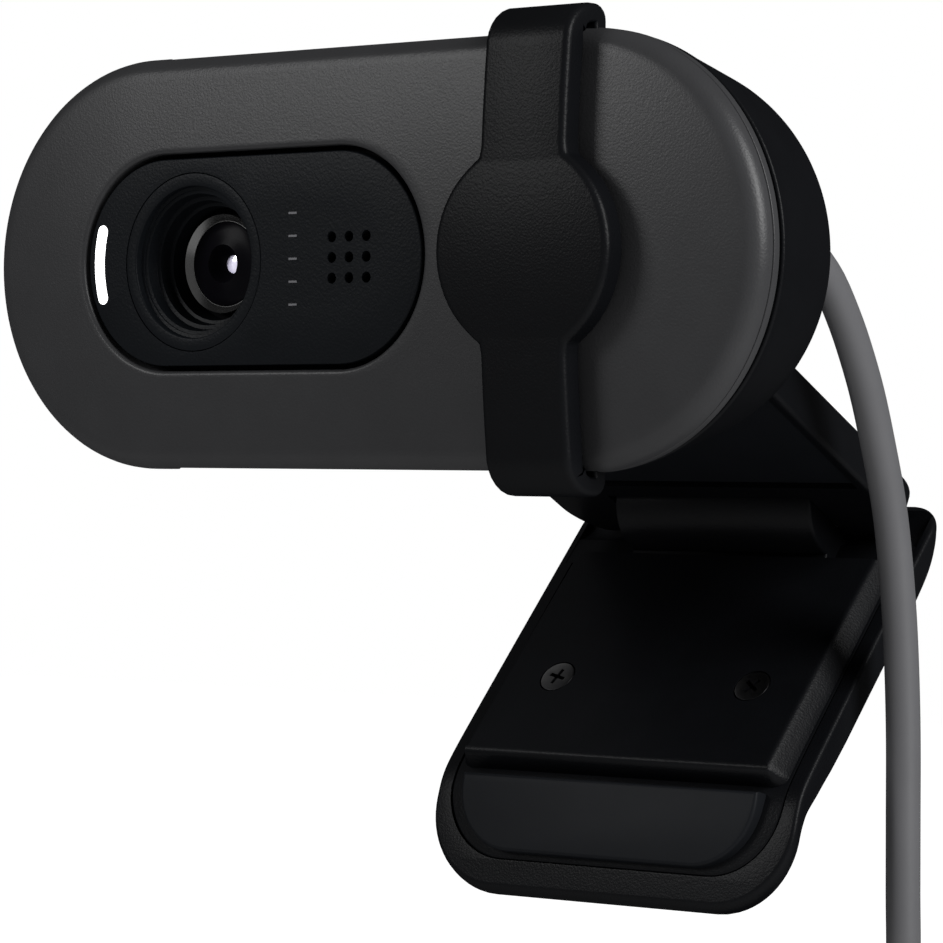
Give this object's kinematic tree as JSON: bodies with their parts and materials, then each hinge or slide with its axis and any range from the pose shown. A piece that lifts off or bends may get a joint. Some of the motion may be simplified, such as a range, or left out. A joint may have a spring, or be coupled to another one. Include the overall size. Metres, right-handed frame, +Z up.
{
  "type": "webcam",
  "caption": "Webcam with a long rounded head, a sliding privacy shutter, a tilting arm and a hinged clip that grips a screen's top edge",
  "frame": {"origin": "the middle of the seat pad under the sloping arm, where the arm rests on a screen's top edge", "axes": "+X to the right seen from the front, -Y to the front, +Z up"},
  "size_m": [0.0732, 0.0614, 0.155],
  "materials": {
    "shell_graphite": "fine leather grain",
    "shell_black": "satin, fine grain",
    "panel_black": "matte",
    "gloss_black": "glossy",
    "lens_glass": "coated",
    "sensor_face": "glossy",
    "light_white": "lit diffuser",
    "board_green": "satin",
    "steel": "satin",
    "screw_black": "blackened",
    "rubber_black": "matte",
    "cable_grey": "satin",
    "connector_ivory": "satin",
    "contact_gold": "bright"
  },
  "bodies": {
    "arm": {"arm": "shell_black", "seat_pad": "rubber_black", "lip_pad": "rubber_black", "tilt_pin": "steel", "tilt_washer_left": "steel", "tilt_washer_right": "steel", "clip_pin": "steel", "clip_washer_left": "steel", "clip_washer_right": "steel", "usb_cable": "cable_grey", "cable_coil": "cable_grey", "cable_tail": "cable_grey", "cable_tie": "rubber_black", "plug_grip": "shell_black", "plug_shell": "steel", "plug_tongue": "connector_ivory", "plug_contacts": "contact_gold"},
    "head": {"front_shell": "shell_graphite", "mid_ring": "shell_graphite", "rear_shell": "shell_black", "window_panel": "panel_black", "light_pipe": "light_white", "lens_bezel": "panel_black", "lens_barrel": "gloss_black", "front_glass": "lens_glass", "inner_glass": "lens_glass", "lens_holder": "panel_black", "image_sensor": "sensor_face", "main_board": "board_green", "status_led": "light_white", "microphone": "steel", "cable_socket": "connector_ivory", "board_screw_left": "steel", "board_screw_right": "steel", "strain_relief": "rubber_black"},
    "shutter": {"shutter": "shell_black"},
    "foot": {"foot_shell": "shell_black", "foot_plate": "shell_black", "foot_pad": "rubber_black", "foot_screw_left": "screw_black", "foot_screw_right": "screw_black"}
  },
  "joints": [
    {"name": "head_tilt", "type": "hinge", "parent": "arm", "child": "head", "pos_m": [0, -0.01493, 0.00962], "axis": [1, 0, 0], "range_deg": [-38, 8], "deforming": ["usb_cable"]},
    {"name": "shutter_slide", "type": "slide", "parent": "head", "child": "shutter", "axis": [-1, 0, 0], "range_m": [0, 0.0331]},
    {"name": "clip_hinge", "type": "hinge", "parent": "arm", "child": "foot", "pos_m": [0, 0.01659, -0.00714], "axis": [1, 0, 0], "range_deg": [-57, 77]}
  ]
}
